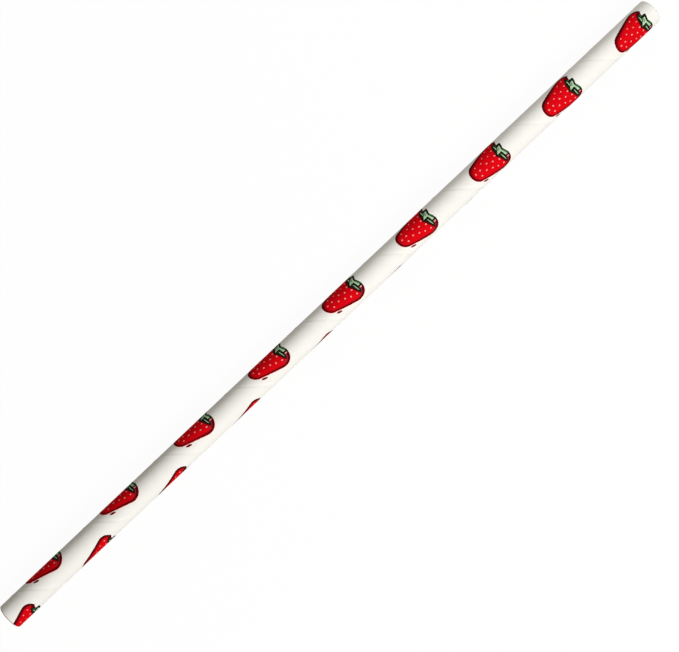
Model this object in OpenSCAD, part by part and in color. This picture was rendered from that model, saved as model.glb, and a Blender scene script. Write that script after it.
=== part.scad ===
// Paper drinking straw with a spirally wound wall.
// Thick inner plies and a thin outer ply are wound from paper strip into one long tube,
// glued into a single wall and cut square to length. Each turn of the outer ply laps over
// the turn before it, and the turns of the innermost ply lie edge to edge with a fine gap.
// The straw lies along X on the plane z = 0, with its middle over the origin.

/* [Straw] */
// Length between the two cut ends
straw_length = 197; // [60:1:260]
// Outside diameter of the barrel, away from the lap
barrel_d = 6.1; // [4:0.1:12]

/* [Paper] */
// Thickness of the outer ply, which is also the step at its lap
outer_ply = 0.08; // [0.05:0.01:0.15]
// Thickness of each inner ply
inner_ply = 0.16; // [0.1:0.01:0.25]
// Number of inner plies
inner_plies = 2; // [1:1:3]

/* [Winding] */
// Advance of the strip along the straw in one turn
lead = 21.3; // [15:0.1:40]
// Width of the lap of the outer ply, square to its edge
lap_width = 0.9; // [0.5:0.1:1.5]
// Turn of the lap's free edge at mid-length, in degrees from the top towards -Y
lap_turn = 76; // [-180:1:180]
// Width of the gap between the turns of the innermost ply, square to its edge
gap_width = 0.3; // [0.2:0.05:0.6]
// Turn from the lap's free edge to the gap, in degrees
gap_offset = 180; // [90:1:270]

/* [Hidden] */

// Facets in one turn of a wound edge
turn_facets = 15;
// Facets across the slope of the lap
slope_facets = 4;
// Length wound past each cut, at the least
trim = 1;
// How deep the foot of the lap's slope goes into the barrel, as a share of the outer ply
run_in = 0.06;

barrel_r = barrel_d / 2;
wall = outer_ply + inner_plies * inner_ply;
bore_r = barrel_r - wall;
crest_r = barrel_r + outer_ply;
// The straw lies on its laps, on a facet of theirs that is wide enough to keep it from rolling
half_facet = 180 / turn_facets;
axis_height = crest_r * cos(half_facet);
// Whole turns, started within one turn of the first cut
wound_turns = 1 + ceil((straw_length + 2 * trim) / lead);
wound_length = wound_turns * lead;
// Angle between the strip's edge and the straw's axis
wind_angle = atan(PI * barrel_d / lead);

// Angle round the barrel, in degrees, of a width that lies square to the strip's edge
function turn_of(width, radius) = width / cos(wind_angle) / radius * 180 / PI;

// Height of the lap's slope over the barrel, at a share of its width from the free edge.
// It is hollow, as paper is where it is drawn down over the edge that it covers.
function slope_height(share) = outer_ply * ((1 + run_in) * pow(1 - share, 3) - run_in);

// A point of a section, at a radius and a turn round the axis
function at_turn(radius, turn) = [radius * cos(turn), radius * sin(turn)];

// Points along an arc of one radius
function arc(radius, start_turn, end_turn, steps) = [
    for (i = [0 : steps])
        at_turn(radius, start_turn + (end_turn - start_turn) * i / steps)
];

// Section of the lap: a step at the free edge, then a slope down to the barrel and into it
module lap_section() {
    slope_turn = turn_of(lap_width, barrel_r);
    slope = [
        for (i = [0 : slope_facets])
            let (share = i / slope_facets)
            at_turn(barrel_r + slope_height(share), slope_turn * share)
    ];
    root = arc(barrel_r - outer_ply, slope_turn, 0, slope_facets / 2);
    polygon(concat(slope, root));
}

// Section of the gap: a slot through the innermost ply, open to the bore
module gap_section() {
    slot_turn = turn_of(gap_width, bore_r);
    floor_r = bore_r + inner_ply;
    mouth_r = bore_r - inner_ply;
    polygon(concat(
        arc(floor_r, 0, slot_turn, 1),
        arc(mouth_r, slot_turn, 0, 1)
    ));
}

// Winds a section round the axis from before the first cut to past the second.
// It passes mid-length at the given turn. It starts half a facet off the underside,
// so that every turn has a facet flat on the plane.
module wound(turn) {
    start_turn = 180 + half_facet;
    first_cut_turn = turn - 360 * (straw_length / 2 + trim) / lead;
    turns_back = ceil((start_turn - first_cut_turn) / 360);
    start = lead * ((start_turn - turn) / 360 - turns_back);
    translate([0, 0, start])
        rotate(start_turn)
            linear_extrude(
                height = wound_length,
                twist = -360 * wound_turns,
                slices = turn_facets * wound_turns
            )
                children();
}

// A round bar round the axis that runs past both cuts
module bar(radius, past_cut) {
    cylinder(h = straw_length + 2 * past_cut, r = radius, center = true, $fn = 96);
}

// Everything past one cut end
module offcut(side) {
    length = 2 * lead + trim;
    translate([0, 0, side * (straw_length + length) / 2])
        cube([3 * barrel_d, 3 * barrel_d, length], center = true);
}

// The whole straw, one solid of glued paper
module straw_tube() {
    color("white")
        translate([0, 0, axis_height])
            // Turns the axis to X, with turns counted from the top towards -Y
            rotate([0, 90, 0])
                rotate(180)
                    difference() {
                        union() {
                            bar(barrel_r, trim);
                            wound(lap_turn)
                                lap_section();
                        }
                        bar(bore_r, 2 * trim);
                        wound(lap_turn + gap_offset)
                            gap_section();
                        for (side = [-1, 1])
                            offcut(side);
                    }
}

straw_tube();
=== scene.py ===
"""A paper drinking straw, spirally wound and printed with strawberries, lying on a white table.

The straw is made as the real one is. Paper strip is laid out flat, printed, and rolled round
the straw's axis, so a flat place (along, round, height) becomes a place on the tube. Flat sizes
are in millimetres. Along runs with the straw from its middle, round is measured on the barrel
from the top towards -Y, and height stands out from the barrel.
"""

import logging
import math
from dataclasses import dataclass
from enum import Enum

import bmesh
import bpy
import numpy as np
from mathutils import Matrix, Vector
from mathutils.geometry import delaunay_2d_cdt

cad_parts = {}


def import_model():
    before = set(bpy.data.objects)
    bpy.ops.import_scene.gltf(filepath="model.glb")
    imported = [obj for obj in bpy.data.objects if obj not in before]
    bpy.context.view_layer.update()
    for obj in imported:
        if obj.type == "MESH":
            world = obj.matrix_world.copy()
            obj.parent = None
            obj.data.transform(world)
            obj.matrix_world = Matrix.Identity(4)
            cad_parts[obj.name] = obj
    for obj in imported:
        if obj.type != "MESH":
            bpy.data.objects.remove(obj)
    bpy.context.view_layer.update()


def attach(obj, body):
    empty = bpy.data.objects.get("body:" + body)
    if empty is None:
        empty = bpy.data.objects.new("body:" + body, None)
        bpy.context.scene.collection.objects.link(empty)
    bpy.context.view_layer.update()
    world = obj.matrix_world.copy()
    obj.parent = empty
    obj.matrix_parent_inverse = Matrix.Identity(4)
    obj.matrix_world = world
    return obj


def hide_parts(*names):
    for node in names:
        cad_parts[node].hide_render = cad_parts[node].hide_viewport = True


MM = 0.001
# Names under which the skin's layout, its place on the strip and its cut faces are kept
BAKE_MAP = "OFBake"
STRIP = "strip"
CUT_FACE = "cut_face"
# Sockets of a Mix node's two colours and of its result, which share their names with other kinds
MIX_A, MIX_B, MIX_RESULT = 6, 7, 2
# Points of the artwork that are nearer than this, in millimetres, are one
SAME_PLACE = 1e-3
WHITE = "FFFFFF"
log = logging.getLogger("straw")

Point = tuple[float, float]
Place = tuple[float, float, float]
Triangle = tuple[int, ...]
Socket = bpy.types.NodeSocket
Tree = bpy.types.NodeTree


def linear(code: str) -> tuple[float, float, float, float]:
    """Turns an sRGB hex colour into the linear colour that a shader takes.

    Args:
        code: Six hex digits.

    Returns:
        Linear red, green and blue, and an alpha of 1.
    """
    shares = [int(code[i:i + 2], 16) / 255 for i in (0, 2, 4)]
    red, green, blue = (s / 12.92 if s <= 0.04045 else ((s + 0.055) / 1.055) ** 2.4 for s in shares)
    return red, green, blue, 1.0


def add_node(
    tree: Tree, kind: str, inputs: dict[str | int, object] | None = None, **settings: object,
) -> bpy.types.Node:
    """Adds a node to a tree.

    Args:
        tree: The tree that gets the node.
        kind: Blender's name of the node's type.
        inputs: What goes into its sockets, by name, or by number where sockets share a name:
            another node's output, or a value.
        **settings: The node's own settings.

    Returns:
        The new node.
    """
    node = tree.nodes.new(kind)
    for name, value in settings.items():
        setattr(node, name, value)
    for place, value in (inputs or {}).items():
        if isinstance(value, Socket):
            tree.links.new(value, node.inputs[place])
        else:
            node.inputs[place].default_value = value
    return node


def new_material(name: str, roughness: float, specular: float) -> tuple[bpy.types.Material, bpy.types.Node]:
    """Starts a material with the same roughness and gloss all over.

    Args:
        name: What the real material is called.
        roughness: Its roughness.
        specular: The strength of its gloss.

    Returns:
        The material and its Principled shader.
    """
    material = bpy.data.materials.new(name)
    material.use_nodes = True
    shader = material.node_tree.nodes["Principled BSDF"]
    shader.inputs["Roughness"].default_value = roughness
    shader.inputs["Specular IOR Level"].default_value = specular
    return material, shader


def new_tree(name: str, sockets: dict[str, str]) -> tuple[Tree, bpy.types.Node, bpy.types.Node]:
    """Starts a Geometry Nodes tree with named inputs and one geometry output.

    Args:
        name: The tree's name.
        sockets: The type of each input, by its name.

    Returns:
        The tree, its Group Input node and its Group Output node.
    """
    tree = bpy.data.node_groups.new(name, "GeometryNodeTree")
    for socket, kind in sockets.items():
        tree.interface.new_socket(name=socket, in_out="INPUT", socket_type=kind)
    tree.interface.new_socket(name="Geometry", in_out="OUTPUT", socket_type="NodeSocketGeometry")
    return tree, add_node(tree, "NodeGroupInput"), add_node(tree, "NodeGroupOutput")


def made_by(tree: Tree, name: str, flat: bpy.types.Mesh, values: dict[str, object]) -> bpy.types.Object:
    """Runs a Geometry Nodes tree on a flat mesh and keeps the result as a plain mesh.

    Args:
        tree: The tree.
        name: The new piece's name.
        flat: The mesh that goes in.
        values: What goes into the tree's inputs, by name.

    Returns:
        The piece, with no modifier left on it.
    """
    piece = bpy.data.objects.new(name, flat)
    bpy.context.scene.collection.objects.link(piece)
    modifier = piece.modifiers.new("made by", "NODES")
    modifier.node_group = tree
    for item in tree.interface.items_tree:
        if item.in_out == "INPUT" and item.name in values:
            modifier[item.identifier] = values[item.name]
    bpy.context.view_layer.update()
    evaluated = piece.evaluated_get(bpy.context.evaluated_depsgraph_get())
    mesh = bpy.data.meshes.new_from_object(evaluated)
    mesh.name = name
    piece.modifiers.clear()
    piece.data = mesh
    return piece


def crease(mesh: bpy.types.Mesh, limit: float = 35.0) -> None:
    """Shades a mesh smooth, apart from its sharp edges.

    Args:
        mesh: The mesh.
        limit: The turn in degrees from which an edge is sharp.
    """
    work = bmesh.new()
    work.from_mesh(mesh)
    for face in work.faces:
        face.smooth = True
    for edge in work.edges:
        edge.smooth = edge.calc_face_angle(math.pi) < math.radians(limit)
    work.to_mesh(mesh)
    work.free()


@dataclass(frozen=True)
class Winding:
    """The straw's sizes as the CAD has them, in millimetres and degrees."""

    length: float = 197.0
    radius: float = 3.05
    outer_ply: float = 0.08
    inner_ply: float = 0.16
    inner_plies: int = 2
    lead: float = 21.3
    lap_width: float = 0.9
    lap_turn: float = 76.0
    lap_run_in: float = 0.06
    gap_width: float = 0.3
    gap_offset: float = 180.0
    turn_facets: int = 15

    @property
    def wall(self) -> float:
        """Thickness of the glued wall."""
        return self.outer_ply + self.inner_plies * self.inner_ply

    @property
    def girth(self) -> float:
        """Distance once round the barrel."""
        return 2 * math.pi * self.radius

    @property
    def axis_height(self) -> float:
        """Height of the axis over the plane, on which the CAD's laps lie with a facet of theirs."""
        return (self.radius + self.outer_ply) * math.cos(math.pi / self.turn_facets)

    @property
    def strip_turn(self) -> float:
        """Distance round the barrel that the strip's edge moves for each millimetre along."""
        return self.girth / self.lead

    @property
    def wind_angle(self) -> float:
        """Angle between the strip's edge and the straw's axis, in radians."""
        return math.atan(self.strip_turn)

    @property
    def roll_sizes(self) -> dict[str, float]:
        """What the roll takes, in metres, by the names of its inputs."""
        return {"Radius": self.radius * MM, "Axis height": self.axis_height * MM}

    def edge_round(self, along: np.ndarray) -> np.ndarray:
        """How far round the barrel the free edge of the lap is, at places along the straw."""
        return self.radius * math.radians(self.lap_turn) + along * self.strip_turn

    def slope_height(self, share: np.ndarray) -> np.ndarray:
        """Height of the lap over the barrel, at shares of its width from the free edge."""
        rise = (1 + self.lap_run_in) * (1 - share) ** 3 - self.lap_run_in
        return self.outer_ply * np.maximum(rise, 0)


class Roll:
    """The node group that rolls flat paper round the straw's axis, which both trees use.

    Round becomes a turn about the axis, and height becomes a distance from it. Its sizes are in
    metres, and a tree that uses it takes them too.
    """

    SIZES = {"Radius": "NodeSocketFloat", "Axis height": "NodeSocketFloat"}

    def __init__(self) -> None:
        """Builds the group."""
        self.group, given, result = new_tree(
            "Roll round the straw", {"Geometry": "NodeSocketGeometry", **self.SIZES},
        )
        tree = self.group
        place = add_node(tree, "GeometryNodeInputPosition")
        flat = add_node(tree, "ShaderNodeSeparateXYZ", {0: place.outputs[0]})
        radius = given.outputs["Radius"]
        turn = add_node(tree, "ShaderNodeMath", {0: flat.outputs["Y"], 1: radius}, operation="DIVIDE")
        out = add_node(tree, "ShaderNodeMath", {0: flat.outputs["Z"], 1: radius}, operation="ADD")
        arm = add_node(tree, "ShaderNodeCombineXYZ", {"X": flat.outputs["X"], "Z": out.outputs[0]})
        turned = add_node(
            tree, "ShaderNodeVectorRotate",
            {"Vector": arm.outputs[0], "Angle": turn.outputs[0]}, rotation_type="X_AXIS",
        )
        lift = add_node(tree, "ShaderNodeCombineXYZ", {"Z": given.outputs["Axis height"]})
        rolled = add_node(
            tree, "GeometryNodeSetPosition",
            {"Geometry": given.outputs["Geometry"], "Position": turned.outputs[0], "Offset": lift.outputs[0]},
        )
        tree.links.new(rolled.outputs[0], result.inputs[0])

    def add(self, tree: Tree, given: bpy.types.Node, flat: Socket) -> Socket:
        """Adds the roll to a tree.

        Args:
            tree: The tree.
            given: Its Group Input node, which has the roll's sizes.
            flat: The flat geometry.

        Returns:
            The rolled geometry.
        """
        inputs = {"Geometry": flat, **{name: given.outputs[name] for name in self.SIZES}}
        return add_node(tree, "GeometryNodeGroup", inputs, node_tree=self.group).outputs[0]


@dataclass(frozen=True)
class Band:
    """A soft-edged band that runs with the strip, in millimetres from the lap's free edge."""

    middle: float
    reach: float
    most: float

    def add(self, tree: Tree, from_edge: Socket) -> Socket:
        """Adds the band to a material.

        Args:
            tree: The material's tree.
            from_edge: The distance across the strip from the free edge, in metres.

        Returns:
            The band's strength, which is greatest in its middle and nothing past its reach.
        """
        shifted = add_node(tree, "ShaderNodeMath", {0: from_edge, 1: self.middle * MM}, operation="SUBTRACT")
        away = add_node(tree, "ShaderNodeMath", {0: shifted.outputs[0]}, operation="ABSOLUTE")
        strength = add_node(
            tree, "ShaderNodeMapRange",
            {"Value": away.outputs[0], "From Max": self.reach * MM, "To Min": self.most, "To Max": 0.0},
            interpolation_type="SMOOTHSTEP",
        )
        return strength.outputs[0]


# Uncoated paper is bleached pulp, pressed without a glaze. To the eye it is a soft matt white with
# no gleam, faintly cloudy, and finely streaked along the strip, as its fibres lie.
@dataclass(frozen=True)
class StrawPaper:
    """The face of the outer and the innermost ply, greyed by glue and painted shade along the lap's edge."""

    name: str = "uncoated straw paper"
    white: str = "F6F5F2"
    cloud: str = "F0EEE7"
    glue_and_shade: str = "CFC8BB"
    lighter_white: str = "FCFBF9"
    roughness: float = 0.86
    specular: float = 0.2
    # Clouds in the pulp, as wide as the real ones
    cloud_size: float = 3.0
    # Real fibres are 0.03 mm thick and 1 mm long, and are drawn coarser so as to show
    fibre_length: float = 1.2
    fibre_width: float = 0.25
    fibre_rise: float = 0.03
    # Along the lap's free edge the paper is greyed by glue that was squeezed out and by painted shade,
    # the shadow of the lap's step. Further from the edge, a band of it is a little lighter.
    glue_and_shade_band: Band = Band(middle=-0.2, reach=0.4, most=0.07)
    lighter_band: Band = Band(middle=-0.72, reach=0.4, most=0.4)

    def build(self, winding: Winding) -> bpy.types.Material:
        """Builds the paper's material.

        Args:
            winding: The sizes of the straw that it covers.

        Returns:
            The material.
        """
        material, shader = new_material(self.name, self.roughness, self.specular)
        tree = material.node_tree
        strip = add_node(tree, "ShaderNodeAttribute", attribute_name=STRIP)
        fibre_scale = (1 / (self.fibre_length * MM), 1 / (self.fibre_width * MM), 1.0)
        fibre_place = add_node(
            tree, "ShaderNodeMapping", {"Vector": strip.outputs["Vector"], "Scale": fibre_scale},
        )
        fibres = add_node(
            tree, "ShaderNodeTexNoise",
            {"Vector": fibre_place.outputs[0], "Scale": 1.0, "Detail": 3.0, "Roughness": 0.6},
        )
        place = add_node(tree, "ShaderNodeTexCoord")
        centred = add_node(
            tree, "ShaderNodeMapping",
            {"Vector": place.outputs["Object"], "Location": (0, 0, -winding.axis_height * MM)},
        )
        clouds = add_node(
            tree, "ShaderNodeTexNoise",
            {
                "Vector": centred.outputs[0],
                "Scale": 1 / (self.cloud_size * MM),
                "Detail": 2.0,
                "Roughness": 0.5,
            },
        )
        cloudy = add_node(
            tree, "ShaderNodeMix",
            {"Factor": clouds.outputs["Fac"], MIX_A: linear(self.white), MIX_B: linear(self.cloud)},
            data_type="RGBA",
        )
        from_edge = self.from_edge(tree, strip.outputs["Vector"], winding)
        # Painted shade of the lap's step, with squeezed-out glue, greys the paper along its free edge
        glued_and_shaded = add_node(
            tree, "ShaderNodeMix",
            {
                "Factor": self.glue_and_shade_band.add(tree, from_edge),
                MIX_A: cloudy.outputs[MIX_RESULT],
                MIX_B: linear(self.glue_and_shade),
            },
            data_type="RGBA",
        )
        # A band further from the free edge is a little lighter than the paper
        whitened = add_node(
            tree, "ShaderNodeMix",
            {
                "Factor": self.lighter_band.add(tree, from_edge),
                MIX_A: glued_and_shaded.outputs[MIX_RESULT],
                MIX_B: linear(self.lighter_white),
            },
            data_type="RGBA",
        )
        bump = add_node(
            tree, "ShaderNodeBump",
            {"Height": fibres.outputs["Fac"], "Strength": 0.35, "Distance": self.fibre_rise * MM},
        )
        tree.links.new(whitened.outputs[MIX_RESULT], shader.inputs["Base Color"])
        tree.links.new(bump.outputs[0], shader.inputs["Normal"])
        return material

    def from_edge(self, tree: Tree, strip: Socket, winding: Winding) -> Socket:
        """Adds the distance across the strip from the free edge, which is negative before it.

        Args:
            tree: The material's tree.
            strip: The place on the strip.
            winding: The sizes of the straw.

        Returns:
            The distance, in metres.
        """
        across = add_node(tree, "ShaderNodeSeparateXYZ", {0: strip})
        half_strip = winding.girth * math.cos(winding.wind_angle) / 2 * MM
        wrapped = add_node(
            tree, "ShaderNodeMath", {0: across.outputs["Y"], 1: half_strip, 2: -half_strip}, operation="WRAP",
        )
        return wrapped.outputs[0]


# A blade leaves the wall's end torn. Its grey is painted shade for the shadow in the torn fibre ends, so
# to the eye it is greyer and rougher than the face, with a fine dark line where each two plies are glued.
@dataclass(frozen=True)
class CutPaper:
    """The raw end of the wall: three plies seen edge on."""

    name: str = "cut edge of straw paper"
    # The torn paper's off-white, darkened by painted shade
    white: str = "B4AEA1"
    glue: str = "7C7568"
    roughness: float = 0.95
    specular: float = 0.1
    # A glue line is 0.01 mm wide, and is drawn wider so as to show
    glue_line: float = 0.04
    # Torn fibre ends are 0.03 mm across, and are drawn coarser so as to show
    fuzz_size: float = 0.15
    fuzz_rise: float = 0.05

    def build(self, winding: Winding) -> bpy.types.Material:
        """Builds the cut edge's material, with its two glue lines.

        Args:
            winding: The sizes of the plies.

        Returns:
            The material.
        """
        material, shader = new_material(self.name, self.roughness, self.specular)
        tree = material.node_tree
        place = add_node(tree, "ShaderNodeTexCoord")
        # Flattened along the straw, so that its length is the distance from the axis
        centred = add_node(
            tree, "ShaderNodeMapping",
            {
                "Vector": place.outputs["Object"],
                "Location": (0, 0, -winding.axis_height * MM),
                "Scale": (0.0, 1.0, 1.0),
            },
        )
        from_axis = add_node(tree, "ShaderNodeVectorMath", {0: centred.outputs[0]}, operation="LENGTH")
        outer_joint = (winding.radius - winding.outer_ply) * MM
        lines = [
            add_node(
                tree, "ShaderNodeMath",
                {0: from_axis.outputs["Value"], 1: joint, 2: self.glue_line / 2 * MM}, operation="COMPARE",
            )
            for joint in (outer_joint, outer_joint - winding.inner_ply * MM)
        ]
        drawn = add_node(
            tree, "ShaderNodeMath", {0: lines[0].outputs[0], 1: lines[1].outputs[0]}, operation="MAXIMUM",
        )
        fuzz = add_node(
            tree, "ShaderNodeTexNoise",
            {"Vector": place.outputs["Object"], "Scale": 1 / (self.fuzz_size * MM), "Detail": 2.0},
        )
        glued = add_node(
            tree, "ShaderNodeMath", {0: drawn.outputs[0], 1: fuzz.outputs["Fac"]}, operation="MULTIPLY",
        )
        colour = add_node(
            tree, "ShaderNodeMix",
            {"Factor": glued.outputs[0], MIX_A: linear(self.white), MIX_B: linear(self.glue)},
            data_type="RGBA",
        )
        bump = add_node(
            tree, "ShaderNodeBump",
            {"Height": fuzz.outputs["Fac"], "Strength": 0.6, "Distance": self.fuzz_rise * MM},
        )
        tree.links.new(colour.outputs[MIX_RESULT], shader.inputs["Base Color"])
        tree.links.new(bump.outputs[0], shader.inputs["Normal"])
        return material


# Water-based food-safe ink soaks into the paper as it is printed. To the eye it is a flat, matt
# colour that is a little uneven, with the paper's grain and no gleam of its own.
@dataclass(frozen=True)
class PrintInk:
    """One ink, full where the paper took all of it and thin where it took less."""

    name: str
    full: str
    thin: str
    roughness: float = 0.75
    specular: float = 0.04
    # Patches in which the paper took the ink unevenly, and where in them it thins
    patch_size: float = 0.8
    thinning: Point = (0.35, 0.75)
    # The paper's fibres under the ink are 0.03 mm thick, and are drawn coarser so as to show
    grain_size: float = 0.25
    grain_rise: float = 0.03

    def build(self) -> bpy.types.Material:
        """Builds the ink's material.

        Returns:
            The material.
        """
        material, shader = new_material(self.name, self.roughness, self.specular)
        tree = material.node_tree
        place = add_node(tree, "ShaderNodeTexCoord")
        patches = add_node(
            tree, "ShaderNodeTexNoise",
            {
                "Vector": place.outputs["Object"],
                "Scale": 1 / (self.patch_size * MM),
                "Detail": 4.0,
                "Roughness": 0.65,
            },
        )
        thinned = add_node(
            tree, "ShaderNodeMapRange",
            {"Value": patches.outputs["Fac"], "From Min": self.thinning[0], "From Max": self.thinning[1]},
        )
        colour = add_node(
            tree, "ShaderNodeMix",
            {"Factor": thinned.outputs[0], MIX_A: linear(self.full), MIX_B: linear(self.thin)},
            data_type="RGBA",
        )
        grain = add_node(
            tree, "ShaderNodeTexNoise",
            {"Vector": place.outputs["Object"], "Scale": 1 / (self.grain_size * MM), "Detail": 3.0},
        )
        bump = add_node(
            tree, "ShaderNodeBump",
            {"Height": grain.outputs["Fac"], "Strength": 0.25, "Distance": self.grain_rise * MM},
        )
        tree.links.new(colour.outputs[MIX_RESULT], shader.inputs["Base Color"])
        tree.links.new(bump.outputs[0], shader.inputs["Normal"])
        return material


class Ink(Enum):
    """The inks of the print, each with its look."""

    # Printed twice over, so the berry's line is nearly black with a red cast
    OUTLINE = PrintInk("dark red outline ink", "4A0208", "5A040C")
    # A heavier red beside that line, which makes the berry look round
    RIM = PrintInk("deep red ink", "AC000A", "B8020E")
    # The full, bright red of the fruit
    FLESH = PrintInk("strawberry red ink", "D6000D", "E00615")
    # A dull red, for the bloom on the near shoulder
    BLUSH = PrintInk("soft red ink", "7C2029", "8C363F")
    # So thin that the paper shines through, for the seeds and the glint
    SEED = PrintInk("pale pink ink", "F29E98", "F7B4AE")
    # So dense that the ground under the leaves looks black
    LEAF_LINE = PrintInk("black green ink", "081607", "101F0E")
    # A light wash, for the lit side of the leaves
    LEAF_PALE = PrintInk("pale green ink", "ACCBA3", "C0DAB6")
    # A plain green, for the side of the leaves that lies in shade
    LEAF_SHADE = PrintInk("leaf green ink", "2A6436", "367343")

    @property
    def piece(self) -> str:
        """Name of the piece that this ink makes."""
        return "print_" + self.name.lower()


@dataclass(frozen=True)
class SkinCorners:
    """Where each corner of the skin's faces lies, and on which side of the wall its face is.

    Along is from the left end, around is from the free edge, and depth is the share of the way
    through the wall. A face that isn't outside or inside is on a cut end.
    """

    along: np.ndarray
    around: np.ndarray
    depth: np.ndarray
    outside: np.ndarray
    inside: np.ndarray


@dataclass(frozen=True)
class BakeMap:
    """The skin's layout for a bake: the outside in three rows, the bore in one, the cuts as strips.

    Places are in pixels of a square map, and scales are in pixels for a millimetre.
    """

    side: float = 1024
    left: float = 8
    outside_rows: int = 3
    outside_start: float = 3
    outside_step: float = 297
    outside_scale: float = 15.1
    bore_start: float = 896
    bore_along_scale: float = 5.1
    bore_around_scale: float = 4.4
    cut_start: float = 986
    cut_step: float = 19
    cut_height: float = 15
    cut_scale: float = 50

    def lay(self, mesh: bpy.types.Mesh, corners: SkinCorners, length: float) -> None:
        """Gives the skin its layout.

        Args:
            mesh: The flat skin.
            corners: Where the corners of its faces lie.
            length: The straw's length.
        """
        row_length = length / self.outside_rows
        middle = corners.along.mean(1)
        row = np.floor(middle / row_length).clip(0, self.outside_rows - 1)[:, None]
        right = (middle > length / 2)[:, None]
        sides = [corners.outside[:, None], corners.inside[:, None]]
        u = self.left + np.select(
            sides,
            [(corners.along - row * row_length) * self.outside_scale, corners.along * self.bore_along_scale],
            corners.around * self.cut_scale,
        )
        v = np.select(
            sides,
            [
                self.outside_start + row * self.outside_step + corners.around * self.outside_scale,
                self.bore_start + corners.around * self.bore_around_scale,
            ],
            self.cut_start + self.cut_step * right + self.cut_height * corners.depth,
        )
        layer = mesh.uv_layers.new(name=BAKE_MAP)
        layer.data.foreach_set("uv", (np.stack([u, v], 2) / self.side).ravel())


@dataclass
class WoundTube:
    """Three plies of paper strip, wound, glued and cut square to length.

    The whole skin is one closed sheet of rings and columns. Its rings run from the left cut over
    the outside to the right cut and back through the bore, and its columns follow the windings.
    """

    winding: Winding
    # The way from ring to ring, outside and in the bore, and the columns on each side of the gap
    ring_step: float = 0.35
    bore_step: float = 0.9
    half_columns: int = 36
    # Columns over the lap, as shares of its width from the free edge
    lap_shares: tuple[float, ...] = (0.0, 0.08, 0.17, 0.27, 0.38, 0.5, 0.62)
    # What is left of the lap's step once the wet strip has been pressed down
    pressed: float = 0.6
    # The share of that step that is a sharp edge, and the width of the rounded foot below it
    crisp: float = 0.5
    foot_width: float = 0.25
    # Nearest that a column outside comes to those over the gap
    gap_margin: float = 0.25
    # Radius to which the blade crushed the cut edges, and the turns of the rings round it
    crushed: float = 0.2
    crush_turns: tuple[float, ...] = (0.0, 30.0, 60.0)
    # The most that the blade pushed a point of a cut end, and the seed of its marks
    burr: float = 0.03
    seed: int = 7

    def outer_columns(self) -> tuple[np.ndarray, np.ndarray]:
        """Lays out the columns of the outside, from the lap's free edge once round to the same edge.

        The last column lies right under the first. The face between them is the sharp part of the
        step, and the paper before them rises to it over the rounded foot.

        Returns:
            How far round from the free edge each column is, and its height.
        """
        w = self.winding
        shares = np.array(self.lap_shares)
        lap = w.lap_width / math.cos(w.wind_angle)
        gap_start, gap_end = self.gap()
        foot = w.girth - self.foot_width / math.cos(w.wind_angle)
        # The rest of the columns that the bore has before its gap, after the lap's last
        rest = self.half_columns + 1 - len(shares)
        before = np.linspace(lap * shares[-1], gap_start - self.gap_margin, rest + 1)[1:]
        over = np.linspace(gap_start, gap_end, 3)
        after = np.linspace(gap_end + self.gap_margin, foot, self.half_columns)
        place = np.concatenate([lap * shares, before, over, after, [w.girth]])
        height = np.zeros(len(place))
        height[:len(shares)] = w.slope_height(shares) * self.pressed
        height[-1] = height[0] * (1 - self.crisp)
        return place, height

    def gap(self) -> tuple[float, float]:
        """Finds the gap of the innermost ply.

        Returns:
            Where it starts and ends, round from the free edge.
        """
        w = self.winding
        start = w.girth * w.gap_offset / 360
        bore = w.radius - w.wall
        return start, start + w.gap_width / math.cos(w.wind_angle) * w.radius / bore

    def bore_columns(self) -> tuple[np.ndarray, np.ndarray]:
        """Lays out the columns of the bore, as many as outside, with the gap as a slot.

        Returns:
            How far round from the free edge each column is, and its height.
        """
        w = self.winding
        start, end = self.gap()
        before = np.linspace(0, start, self.half_columns + 1)
        over = np.linspace(start, end, 3)
        after = np.linspace(end, w.girth, self.half_columns + 2)[:-1]
        place = np.concatenate([before, over, after])
        height = np.full(len(place), -w.wall)
        height[len(before):len(before) + len(over)] += w.inner_ply
        return place, height

    def rings(self) -> tuple[np.ndarray, np.ndarray, np.ndarray]:
        """Lays out the rings, once over the outside and back through the bore.

        Returns:
            Each ring's place along, its share of the way through the wall, and how far a crushed
            edge sinks there.
        """
        half = self.winding.length / 2
        turns = np.radians(self.crush_turns)
        edge_in = self.crushed * (1 - np.cos(turns))
        edge_down = self.crushed * (1 - np.sin(turns))
        body = np.arange(-half + self.crushed, half - self.crushed, self.ring_step)
        bore = np.arange(-half, half, self.bore_step)[::-1]
        # Two rings go through the wall at each cut, and a third turns into the bore at the right one
        through = np.array([1 / 3, 2 / 3])
        along = np.concatenate([-half + edge_in, body, (half - edge_in)[::-1], [half] * 3, bore, [-half] * 2])
        depth = np.concatenate([
            np.zeros(2 * len(turns) + len(body)), through, np.ones(1 + len(bore)), through[::-1],
        ])
        unsunk = np.zeros(len(bore) + 1 + 2 * len(through))
        sink = np.concatenate([edge_down, np.zeros(len(body)), edge_down[::-1], unsunk])
        return along, depth, sink

    def flat_skin(self) -> bpy.types.Mesh:
        """Lays the skin out flat.

        Returns:
            The flat mesh, which closes on itself once it is rolled up.
        """
        w = self.winding
        outer_place, outer_height = self.outer_columns()
        bore_place, bore_height = self.bore_columns()
        along, depth, sink = self.rings()
        rows, columns = len(along), len(outer_place)
        share = depth[:, None]
        at = np.empty((rows, columns, 3))
        at[..., 0] = along[:, None] - self.blade_marks(along, columns)
        at[..., 1] = w.edge_round(along)[:, None] + (outer_place * (1 - share) + bore_place * share)
        at[..., 2] = (outer_height - sink[:, None]) * (1 - share) + bore_height * share

        row, column = (g.ravel() for g in np.meshgrid(np.arange(rows), np.arange(columns), indexing="ij"))
        next_row, next_column = (row + 1) % rows, (column + 1) % columns
        faces = np.stack([
            row * columns + column,
            row * columns + next_column,
            next_row * columns + next_column,
            next_row * columns + column,
        ], 1)
        mesh = bpy.data.meshes.new("flat_skin")
        mesh.from_pydata((at.reshape(-1, 3) * MM).tolist(), [], faces.tolist())

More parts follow.
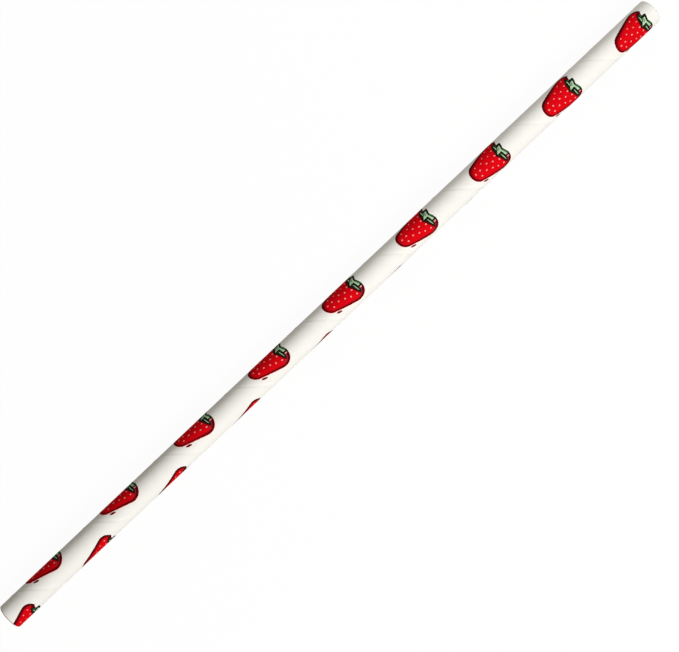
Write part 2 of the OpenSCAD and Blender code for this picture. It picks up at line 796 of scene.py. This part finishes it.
        # The column after the last goes on past the girth, up the step
        corner_row = np.stack([row, row, next_row, next_row], 1)
        corner_column = np.stack([column, column + 1, column + 1, column], 1)
        outer_around = np.append(outer_place, w.girth + w.outer_ply)[corner_column]
        bore_around = np.append(bore_place, w.girth)[corner_column]
        corner_depth = depth[corner_row]
        uncrushed = np.abs(along[row] + along[next_row]) / 2 < w.length / 2 - self.crushed
        self.mark(mesh, SkinCorners(
            along=along[corner_row] + w.length / 2,
            around=outer_around * (1 - corner_depth) + bore_around * corner_depth,
            depth=corner_depth,
            outside=(depth[row] == 0) & (depth[next_row] == 0) & uncrushed,
            inside=(depth[row] == 1) & (depth[next_row] == 1),
        ))
        return mesh

    def mark(self, mesh: bpy.types.Mesh, corners: SkinCorners) -> None:
        """Gives the skin its layout for a bake, its place on the strip and its cut faces.

        Args:
            mesh: The flat skin.
            corners: Where the corners of its faces lie.
        """
        BakeMap().lay(mesh, corners, self.winding.length)
        lean = self.winding.wind_angle
        strip = np.stack([
            corners.along / math.cos(lean) + corners.around * math.sin(lean),
            corners.around * math.cos(lean),
            np.zeros_like(corners.around),
        ], 2)
        cut = ~(corners.outside | corners.inside)
        mesh.attributes.new(STRIP, "FLOAT_VECTOR", "CORNER").data.foreach_set("vector", strip.ravel() * MM)
        mesh.attributes.new(CUT_FACE, "BOOLEAN", "FACE").data.foreach_set("value", cut)

    def blade_marks(self, along: np.ndarray, columns: int) -> np.ndarray:
        """Roughens the cut ends, which the blade pushed unevenly towards mid-length.

        Args:
            along: Each ring's place along.
            columns: The number of columns.

        Returns:
            How far along each point was pushed, for every ring and column.
        """
        noise = np.random.default_rng(self.seed).uniform(0, self.burr, (2, columns))
        noise = (noise + np.roll(noise, 1, 1) + np.roll(noise, -1, 1)) / 3
        half = self.winding.length / 2
        near = np.clip(1 - (half - np.abs(along)) / (2 * self.crushed), 0, 1)[:, None]
        return np.where(along[:, None] > 0, noise[0], -noise[1]) * near

    def tree(self, roll: Roll, paper: bpy.types.Material, cut: bpy.types.Material) -> Tree:
        """Builds the tree that rolls the flat skin up and dresses it.

        Args:
            roll: The roll round the straw's axis.
            paper: The material of its faces.
            cut: The material of its cut ends.

        Returns:
            The tree.
        """
        tree, given, result = new_tree("Wound tube", {"Geometry": "NodeSocketGeometry", **roll.SIZES})
        rolled = roll.add(tree, given, given.outputs["Geometry"])
        realized = add_node(tree, "GeometryNodeRealizeInstances", {0: rolled})
        faced = add_node(
            tree, "GeometryNodeSetMaterial", {"Geometry": realized.outputs[0], "Material": paper},
        )
        chosen = add_node(tree, "GeometryNodeInputNamedAttribute", {"Name": CUT_FACE}, data_type="BOOLEAN")
        ended = add_node(
            tree, "GeometryNodeSetMaterial",
            {"Geometry": faced.outputs[0], "Selection": chosen.outputs["Attribute"], "Material": cut},
        )
        tree.links.new(ended.outputs[0], result.inputs[0])
        return tree

    def build(self, roll: Roll) -> bpy.types.Object:
        """Builds the straw in the CAD's place.

        Args:
            roll: The roll round the straw's axis.

        Returns:
            The finished piece.
        """
        w = self.winding
        tree = self.tree(roll, StrawPaper().build(w), CutPaper().build(w))
        tube = made_by(tree, "straw", self.flat_skin(), w.roll_sizes)
        crease(tube.data)
        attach(tube, "root")
        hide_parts("straw_tube")
        return tube


@dataclass(frozen=True)
class Disc:
    """A disc in the flat artwork, in millimetres."""

    along: float
    across: float
    radius: float


@dataclass(frozen=True)
class Shape:
    """One flat field of the artwork, in one ink, or bare where it has none."""

    ink: Ink | None
    outline: list[Point]


def arc(disc: Disc, start: float, end: float, steps: int) -> list[Point]:
    """Draws part of a disc's rim.

    Args:
        disc: The disc.
        start: The turn in degrees where it starts.
        end: The turn in degrees where it ends.
        steps: The number of points.

    Returns:
        The points.
    """
    turns = np.radians(np.linspace(start, end, steps))
    return [(disc.along + disc.radius * math.cos(t), disc.across + disc.radius * math.sin(t)) for t in turns]


def hull(discs: list[Disc], turn_step: int = 6) -> list[Point]:
    """Stretches a band round some discs.

    Args:
        discs: The discs.
        turn_step: The turn in degrees from each point of the outline to the next.

    Returns:
        The band's outline.
    """
    outline = []
    for turn in np.radians(np.arange(0, 360, turn_step)):
        facing = (math.cos(turn), math.sin(turn))
        furthest = max(discs, key=lambda d: d.along * facing[0] + d.across * facing[1] + d.radius)
        outline.append((
            furthest.along + furthest.radius * facing[0],
            furthest.across + furthest.radius * facing[1],
        ))
    return outline


def smooth(knots: list[Point], steps: int = 6) -> list[Point]:
    """Draws a closed smooth curve through some knots.

    Args:
        knots: The knots, in order.
        steps: The number of points from each knot to the next.

    Returns:
        The curve, a Catmull-Rom spline.
    """
    count = len(knots)
    curve = []
    for i in range(count):
        p = [np.array(knots[(i + k) % count]) for k in (-1, 0, 1, 2)]
        for t in np.arange(steps) / steps:
            point = 0.5 * (
                2 * p[1] + (p[2] - p[0]) * t + (2 * p[0] - 5 * p[1] + 4 * p[2] - p[3]) * t ** 2
                + (3 * p[1] - p[0] - 3 * p[2] + p[3]) * t ** 3
            )
            curve.append((float(point[0]), float(point[1])))
    return curve


def stroke(path: list[Point], width: float) -> list[Point]:
    """Draws a brush stroke along a path, which narrows to half its width at both ends.

    Args:
        path: The points that the brush passes.
        width: The stroke's width in its middle.

    Returns:
        Its outline.
    """
    knots = np.array(path)
    ahead = np.gradient(knots, axis=0)
    left = np.column_stack([-ahead[:, 1], ahead[:, 0]]) / np.hypot(*ahead.T)[:, None]
    share = np.linspace(-1, 1, len(knots))[:, None]
    half = width / 2 * (1 - share ** 4 / 2)
    outline = np.concatenate([knots + left * half, (knots - left * half)[::-1]])
    return smooth([(float(x), float(y)) for x, y in outline], 3)


def fine(outline: list[Point], step: float) -> list[Point]:
    """Divides an outline's sides, and leaves out a point that lies on the next one.

    Args:
        outline: The outline.
        step: The furthest that two points may be apart.

    Returns:
        The same outline with more points.
    """
    result: list[Point] = []
    for i, here in enumerate(outline):
        there = outline[(i + 1) % len(outline)]
        gap = math.dist(here, there)
        if gap < SAME_PLACE:
            continue
        parts = math.ceil(gap / step)
        for k in range(parts):
            result.append((
                here[0] + (there[0] - here[0]) * k / parts,
                here[1] + (there[1] - here[1]) * k / parts,
            ))
    return result


@dataclass
class Strawberry:
    """One strawberry of the print, drawn flat from simple shapes.

    Along runs from its tip to its leaves, with the straw, and across runs round the straw. Its
    outline is a band round three discs, the tip and the two shoulders. Each field of ink inside
    it is the same band, moved in at each disc and slipped a little, as inks are that were printed
    one after another. A fourth disc, on the straight near flank, leaves the outline as it is, and
    says how far the inks are moved in there.
    """

    tip: Disc = Disc(2.13, -0.25, 2.33)
    far_shoulder: Disc = Disc(7.6, -2.35, 2.1)
    near_shoulder: Disc = Disc(7.6, 1.45, 2.45)
    near_flank: Disc = Disc(3.77, 0.26, 2.366)
    # How far in the dark line and the deep red rim reach, at the discs in the order above
    lines: tuple[float, float, float, float] = (0.48, 0.34, 0.58, 0.42)
    rims: tuple[float, float, float, float] = (0.66, 0.34, 0.96, 0.7)
    line_slip: Point = (-0.06, 0.18)
    rim_slip: Point = (0.1, 0.4)
    # How far the red spread beyond the line, and slipped
    red_spread: float = 0.04
    red_slip: Point = (-0.03, 0.08)
    blush_slip: Point = (-0.45, -0.1)
    seed_size: float = 0.2
    # Seeds at this place across and beyond it, on the far side, took less ink
    far_side: float = -1.0
    far_seed_size: float = 0.16
    seed_width: float = 0.8
    dash_path: tuple[Point, ...] = ((1.52, 2.51), (2.12, 2.7), (2.72, 2.92))
    dash_width: float = 0.28
    dash_fringe: float = 0.1

    def band(self, inwards: tuple[float, float, float, float], slip: Point = (0.0, 0.0)) -> list[Point]:
        """Draws the berry's outline, slipped, and moved in at each of its discs.

        Args:
            inwards: How far it is moved in at each disc, in the order of the fields.
            slip: How far along and across it is slipped.

        Returns:
            The outline.
        """
        discs = (self.tip, self.far_shoulder, self.near_shoulder, self.near_flank)
        return hull([
            Disc(d.along + slip[0], d.across + slip[1], d.radius - way) for d, way in zip(discs, inwards)
        ])

    def body(self) -> list[Shape]:
        """Draws the berry, from the red that shows beyond its line to the bloom on its shoulder.

        Returns:
            Its shapes, from the lowest to the topmost.
        """
        shoulder = self.near_shoulder
        near = Disc(shoulder.along, shoulder.across, shoulder.radius - self.lines[2])
        slipped = Disc(near.along + self.blush_slip[0], near.across + self.blush_slip[1], near.radius)
        return [
            Shape(Ink.FLESH, self.band((-self.red_spread,) * 4, self.red_slip)),
            Shape(Ink.OUTLINE, self.band((0.0,) * 4)),
            Shape(Ink.RIM, self.band(self.lines, self.line_slip)),
            Shape(Ink.FLESH, self.band(self.rims, self.rim_slip)),
            # A crescent, from 80 degrees round to -15 on the shoulder and back on the slipped disc
            Shape(Ink.BLUSH, arc(near, 80, -15, 10) + arc(slipped, -15, 75, 9)),
            # Bare paper behind the shoulder, between its leaves
            Shape(None, [
                (9.3, -2.7), (9.6, -3.0), (10.6, -3.3), (10.6, 1.35), (9.95, 1.3), (9.7, 0.4),
                (9.45, -0.3), (9.75, -1.5), (9.1, -1.9),
            ]),
        ]

    def seeds(self) -> list[Shape]:
        """Draws the seeds, in bowed rows that fan out from the tip to the shoulders.

        Returns:
            One oval for each seed.
        """
        places = [
            (1.05, -0.1),
            (1.9, -1.35), (2.35, -0.15), (1.95, 1.05),
            (3.55, -1.2), (3.55, 0.8),
            (4.6, -2.0), (4.5, -0.3), (5.0, 1.35),
            (5.8, -1.3), (5.85, 0.3), (6.25, 1.95),
            (6.2, -2.9), (7.25, -1.75), (7.0, -0.35), (7.35, 0.95), (7.7, 2.35), (7.65, -3.2),
        ]
        turns = np.radians(np.arange(0, 360, 36))
        shapes = []
        for along, across in places:
            size = self.seed_size if across > self.far_side else self.far_seed_size
            shapes.append(Shape(Ink.SEED, [
                (along + size * math.cos(t), across + self.seed_width * size * math.sin(t)) for t in turns
            ]))
        return shapes

    def leaves(self) -> list[Shape]:
        """Draws the calyx: pale leaves on a black green ground, set into the berry's dark hollow.

        Returns:
            Its shapes, from the lowest to the topmost.
        """
        hollow = smooth([
            (9.35, -3.15), (8.55, -3.15), (8.0, -2.5), (7.62, -1.8), (7.4, -1.0), (7.3, -0.4), (7.15, 0.05),
            (7.42, 0.5), (7.65, 1.0), (7.88, 1.6), (8.15, 2.2), (8.5, 2.8), (8.85, 2.6), (9.1, 1.4),
            (9.1, -2.0), (9.3, -2.6),
        ])
        ground = smooth([
            (8.1, -2.4), (8.6, -2.75), (9.02, -2.0), (9.92, -1.87), (9.87, -1.2), (9.58, -0.35), (9.85, 0.4),
            (10.05, 1.3), (9.65, 1.65), (9.0, 1.6), (9.0, 2.1), (8.66, 2.6), (8.3, 2.0), (8.04, 1.1),
            (7.68, 0.4), (7.45, -0.05), (7.6, -0.6), (7.7, -1.2), (7.85, -1.8),
        ])
        far_leaf = stroke([(8.36, -2.1), (8.36, -1.55), (8.26, -0.95)], 0.2)
        middle_leaf = smooth([
            (8.68, -1.25), (9.05, -1.32), (9.42, -1.32), (9.2, -0.75), (9.1, -0.2), (8.6, -0.1), (8.42, -0.5),
        ])
        front_leaf = smooth([(8.35, -0.78), (8.0, -0.45), (7.72, -0.05), (8.1, -0.06), (8.5, -0.1)])
        low_leaf = stroke([(8.34, 0.45), (8.48, 1.15), (8.64, 2.0)], 0.18)
        near_leaf = smooth([
            (8.85, -0.2), (9.12, -0.15), (9.32, 0.4), (9.58, 1.15), (9.35, 1.2), (9.08, 1.15), (8.98, 0.6),
        ])
        middle_vein = stroke([(8.92, -1.25), (8.78, -0.85), (8.62, -0.45)], 0.24)
        near_shade = stroke([(9.35, -0.1), (9.56, 0.4), (9.78, 1.05)], 0.34)
        far_shade = stroke([(8.72, -2.35), (8.8, -2.1), (8.82, -1.85)], 0.2)
        pale = [far_leaf, middle_leaf, front_leaf, low_leaf, near_leaf]
        shaded = [middle_vein, near_shade, far_shade]
        return [
            Shape(Ink.OUTLINE, hollow),
            Shape(Ink.LEAF_LINE, ground),
            *(Shape(Ink.LEAF_PALE, outline) for outline in pale),
            *(Shape(Ink.LEAF_SHADE, outline) for outline in shaded),
        ]

    def shine(self) -> list[Shape]:
        """Draws the pale glint on the near shoulder, below the leaves."""
        return [Shape(Ink.SEED, stroke([(9.15, 1.72), (9.4, 1.76), (9.65, 1.7)], 0.3))]

    def dash(self) -> list[Shape]:
        """Draws the short dark stroke beside the near flank, with the red that shows round it."""
        widths = ((Ink.RIM, self.dash_width + 2 * self.dash_fringe), (Ink.OUTLINE, self.dash_width))
        return [Shape(ink, stroke(list(self.dash_path), width)) for ink, width in widths]

    def drawing(self) -> list[Shape]:
        """All shapes, from the lowest to the topmost."""
        return self.body() + self.seeds() + self.leaves() + self.shine() + self.dash()


@dataclass
class Print:
    """The strawberry print. All inks share one division of the drawing, so that none lies on another."""

    winding: Winding
    berry: Strawberry
    # The first berry's tip, by the right end, and the way along and round from one to the next
    first_tip: Point = (97.15, 11.27)
    step: Point = (-11.05, -9.94)
    count: int = 19
    # The film's top, proud of the paper, and its underside, out of sight in it
    ink_top: float = 0.012
    ink_root: float = -0.02
    # The furthest that points of the division are apart, on outlines and between them
    outline_step: float = 0.25
    grain: float = 0.32
    # A honeycomb's row step and the least way from its points to an outline, as shares of the grain
    row_step: float = 0.87
    clearance: float = 0.45
    # How far short of each cut the print ends, so that no film stands over the crushed edge
    trim: float = 0.14

    def divided(self) -> tuple[np.ndarray, dict[Ink, list[Triangle]]]:
        """Divides the drawing into triangles small enough to bend round the straw.

        Returns:
            The triangles' corners, and the triangles of each ink.
        """
        shapes = self.berry.drawing()
        points: list[Point] = []
        faces: list[list[int]] = []
        for shape in shapes:
            outline = fine(shape.outline, self.outline_step)
            ring = list(range(len(points), len(points) + len(outline)))
            pairs = zip([outline[-1], *outline], outline)
            turned = sum(a[0] * b[1] - b[0] * a[1] for a, b in pairs)
            faces.append(ring if turned > 0 else ring[::-1])
            points += outline
        points += self.filling(np.array(points))
        inside_only, merge_within, name_owners = 1, 1e-5, True
        places, _, triangles, _, _, owners = delaunay_2d_cdt(
            [Vector(p) for p in points], [], faces, inside_only, merge_within, name_owners,
        )
        inked: dict[Ink, list[Triangle]] = {}
        for triangle, owner in zip(triangles, owners):
            top = shapes[max(owner)].ink if owner else None
            if top:
                inked.setdefault(top, []).append(tuple(triangle))
        return np.array([tuple(p) for p in places]), inked

    def filling(self, outlines: np.ndarray) -> list[Point]:
        """Lays a honeycomb of points between the outlines, so that no triangle is large.

        Args:
            outlines: The points of the outlines.

        Returns:
            The extra points.
        """
        low, high = outlines.min(0), outlines.max(0)
        result = []
        for k, across in enumerate(np.arange(low[1], high[1], self.grain * self.row_step)):
            for along in np.arange(low[0] + (k % 2) * self.grain / 2, high[0], self.grain):
                if np.hypot(*(outlines - (along, across)).T).min() > self.grain * self.clearance:
                    result.append((float(along), float(across)))
        return result

    def film(self, ink: Ink, points: np.ndarray, triangles: list[Triangle]) -> bpy.types.Mesh:
        """Makes one berry's share of an ink as a thin closed film, laid out flat.

        Args:
            ink: The ink.
            points: The corners of the whole division.
            triangles: The ink's triangles.

        Returns:
            The flat film.
        """
        used = sorted({corner for triangle in triangles for corner in triangle})
        number = {corner: i for i, corner in enumerate(used)}
        top = [tuple(number[corner] for corner in triangle) for triangle in triangles]
        sides = {(t[i - 1], t[i]) for t in top for i in range(3)}
        count = len(used)
        # The roll turns the sheet over, so the top's triangles go round the other way
        faces = [t[::-1] for t in top]
        faces += [tuple(corner + count for corner in t) for t in top]
        faces += [(a, b, b + count, a + count) for a, b in sorted(sides) if (b, a) not in sides]
        flat = points[used]
        at = np.concatenate([
            np.column_stack([flat, np.full(count, self.ink_top)]),
            np.column_stack([flat, np.full(count, self.ink_root)]),
        ])
        mesh = bpy.data.meshes.new("flat_" + ink.piece)
        mesh.from_pydata((at * MM).tolist(), [], faces)
        return mesh

    def tree(self, roll: Roll) -> Tree:
        """Builds the tree that repeats a film along the winding and rolls it round the straw.

        Args:
            roll: The roll round the straw's axis.

        Returns:
            The tree.
        """
        tree, given, result = new_tree("Print round the straw", {
            "Geometry": "NodeSocketGeometry",
            **roll.SIZES,
            "Count": "NodeSocketInt",
            "First tip": "NodeSocketVector",
            "Step": "NodeSocketVector",
            "Ink": "NodeSocketMaterial",
        })
        places = add_node(tree, "GeometryNodeMeshLine", {
            "Count": given.outputs["Count"],
            "Start Location": given.outputs["First tip"],
            "Offset": given.outputs["Step"],
        })
        copies = add_node(
            tree, "GeometryNodeInstanceOnPoints",
            {"Points": places.outputs[0], "Instance": given.outputs["Geometry"]},
        )
        realized = add_node(tree, "GeometryNodeRealizeInstances", {0: copies.outputs[0]})
        rolled = roll.add(tree, given, realized.outputs[0])
        inked = add_node(
            tree, "GeometryNodeSetMaterial", {"Geometry": rolled, "Material": given.outputs["Ink"]},
        )
        tree.links.new(inked.outputs[0], result.inputs[0])
        return tree

    def cut_to_length(self, mesh: bpy.types.Mesh) -> None:
        """Cuts the print off just short of the straw's ends, and closes it there.

        Args:
            mesh: The rolled print, which runs past both ends.
        """
        half = (self.winding.length / 2 - self.trim) * MM
        work = bmesh.new()
        work.from_mesh(mesh)
        for side in (-1, 1):
            cut = bmesh.ops.bisect_plane(
                work, geom=work.verts[:] + work.edges[:] + work.faces[:], dist=1e-7,
                plane_co=(side * half, 0, 0), plane_no=(side, 0, 0), clear_outer=True,
            )
            edges = [e for e in cut["geom_cut"] if isinstance(e, bmesh.types.BMEdge)]
            bmesh.ops.holes_fill(work, edges=edges, sides=0)
        work.to_mesh(mesh)
        work.free()

    def build(self, roll: Roll) -> list[bpy.types.Object]:
        """Builds one piece for each ink.

        Args:
            roll: The roll round the straw's axis.

        Returns:
            The finished pieces.
        """
        tree = self.tree(roll)
        points, inked = self.divided()
        values = {
            **self.winding.roll_sizes,
            "Count": self.count,
            "First tip": (self.first_tip[0] * MM, self.first_tip[1] * MM, 0.0),
            "Step": (self.step[0] * MM, self.step[1] * MM, 0.0),
        }
        pieces = []
        for ink, triangles in inked.items():
            film = self.film(ink, points, triangles)
            piece = made_by(tree, ink.piece, film, {**values, "Ink": ink.value.build()})
            self.cut_to_length(piece.data)
            crease(piece.data)
            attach(piece, "root")
            pieces.append(piece)
        return pieces


def seen(tree: Tree) -> Socket:
    """Adds nodes that tell the rays that see a surface from those that only light by it.

    Args:
        tree: The tree of a material or of the world.

    Returns:
        1 for a ray that sees it, straight, in a reflection or through glass, and 0 for others.
    """
    path = add_node(tree, "ShaderNodeLightPath")
    eye = add_node(
        tree, "ShaderNodeMath",
        {0: path.outputs["Is Camera Ray"], 1: path.outputs["Is Glossy Ray"]}, operation="MAXIMUM",
    )
    through = add_node(
        tree, "ShaderNodeMath",
        {0: eye.outputs[0], 1: path.outputs["Is Transmission Ray"]}, operation="MAXIMUM",
    )
    return through.outputs[0]


# Matt white board under plain light. To the eye it is a pure white that runs into the room, with
# no more on it than the straw's faint shadow.
@dataclass(frozen=True)
class TableTop:
    """The table's finish: glowing white where it is seen, and plain grey where it lights the straw."""

    name: str = "white table top"
    lit: str = "A6A4A0"
    pale: str = "F7F6F4"
    glow: float = 0.96

    def build(self) -> bpy.types.Material:
        """Builds the table top's material.

        Returns:
            The material.
        """
        material = bpy.data.materials.new(self.name)
        material.use_nodes = True
        tree = material.node_tree
        tree.nodes.clear()
        lit = add_node(tree, "ShaderNodeBsdfDiffuse", {"Color": linear(self.lit)})
        pale = add_node(tree, "ShaderNodeBsdfDiffuse", {"Color": linear(self.pale)})
        glow = add_node(tree, "ShaderNodeEmission", {"Color": linear(WHITE), "Strength": 1.0})
        both = add_node(
            tree, "ShaderNodeMixShader", {0: self.glow, 1: pale.outputs[0], 2: glow.outputs[0]},
        )
        mixed = add_node(
            tree, "ShaderNodeMixShader", {0: seen(tree), 1: lit.outputs[0], 2: both.outputs[0]},
        )
        add_node(tree, "ShaderNodeOutputMaterial", {0: mixed.outputs[0]})
        return material


@dataclass(frozen=True)
class SoftBox:
    """A square soft lamp, in metres and watts."""

    name: str
    place: Place
    aim: Place
    size: float
    power: float


@dataclass
class Studio:
    """A white table, two soft lamps, plain light all round, and the camera of the photograph."""

    # The camera, fitted to the photograph, in millimetres and degrees
    lens: float = 71.441
    sensor_width: float = 36.0
    camera_place: Place = (-19.685, 0.929, 303.118)
    camera_turn: Place = (1.695, -2.991, -43.456)
    nearest: float = 10.0
    # Half the table's width, and how far it lies under the straw, so that the round laps clear it
    table_half: float = 1200.0
    table_drop: float = 0.12
    soft_boxes: tuple[SoftBox, ...] = (
        SoftBox("key soft box", (0.035, -0.34, 0.42), (0.0, 0.0, 0.0), 0.27, 2.6),
        SoftBox("fill soft box", (0.13, 0.12, 0.12), (0.06, 0.0, 0.0), 0.08, 0.08),
    )
    # The light all round, a linear colour and its strength
    room_colour: tuple[float, float, float, float] = (1.0, 0.94, 0.83, 1.0)
    room_light: float = 0.22

    def camera(self) -> None:
        """Sets the camera as it stood for the photograph."""
        data = bpy.data.cameras.new("camera")
        data.lens = self.lens
        data.sensor_width = self.sensor_width
        data.sensor_fit = "HORIZONTAL"
        data.clip_start = self.nearest * MM
        camera = bpy.data.objects.new("camera", data)
        camera.location = [c * MM for c in self.camera_place]
        camera.rotation_euler = [math.radians(a) for a in self.camera_turn]
        bpy.context.scene.collection.objects.link(camera)
        bpy.context.scene.camera = camera

    def table(self) -> None:
        """Lays the table top under the straw."""
        h, z = self.table_half * MM, -self.table_drop * MM
        mesh = bpy.data.meshes.new("table")
        mesh.from_pydata([(-h, -h, z), (h, -h, z), (h, h, z), (-h, h, z)], [], [(0, 1, 2, 3)])
        mesh.materials.append(TableTop().build())
        table = bpy.data.objects.new("table", mesh)
        bpy.context.scene.collection.objects.link(table)

    def room(self) -> None:
        """Fills the room with even, slightly warm light, and shows white beyond the table."""
        world = bpy.data.worlds.new("room")
        bpy.context.scene.world = world
        world.use_nodes = True
        tree = world.node_tree
        tree.nodes.clear()
        light = add_node(
            tree, "ShaderNodeBackground", {"Color": self.room_colour, "Strength": self.room_light},
        )
        white = add_node(tree, "ShaderNodeBackground", {"Color": linear(WHITE), "Strength": 1.0})
        mixed = add_node(
            tree, "ShaderNodeMixShader", {0: seen(tree), 1: light.outputs[0], 2: white.outputs[0]},
        )
        add_node(tree, "ShaderNodeOutputWorld", {0: mixed.outputs[0]})

    def lamps(self) -> None:
        """Hangs a soft box off the near side, and a weak one past the right end on the far side."""
        for soft_box in self.soft_boxes:
            data = bpy.data.lights.new(soft_box.name, "AREA")
            data.size = soft_box.size
            data.energy = soft_box.power
            lamp = bpy.data.objects.new(soft_box.name, data)
            lamp.location = soft_box.place
            aim = Vector(soft_box.aim) - Vector(soft_box.place)
            lamp.rotation_euler = aim.to_track_quat("-Z", "Y").to_euler()
            lamp.visible_camera = False
            bpy.context.scene.collection.objects.link(lamp)

    def build(self) -> None:
        """Sets the whole studio up."""
        bpy.context.scene.view_settings.view_transform = "Standard"
        self.camera()
        self.table()
        self.room()
        self.lamps()


def main() -> None:
    """Builds the studio, the straw and its print in the CAD's frame."""
    logging.basicConfig(level=logging.INFO, format="%(name)s: %(message)s")
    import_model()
    Studio().build()
    winding = Winding()
    roll = Roll()
    pieces = [WoundTube(winding).build(roll)]
    pieces += Print(winding, Strawberry()).build(roll)
    for piece in pieces:
        triangles = sum(len(face.vertices) - 2 for face in piece.data.polygons)
        log.info("%s: %d triangles", piece.name, triangles)


if __name__ == "__main__":
    main()
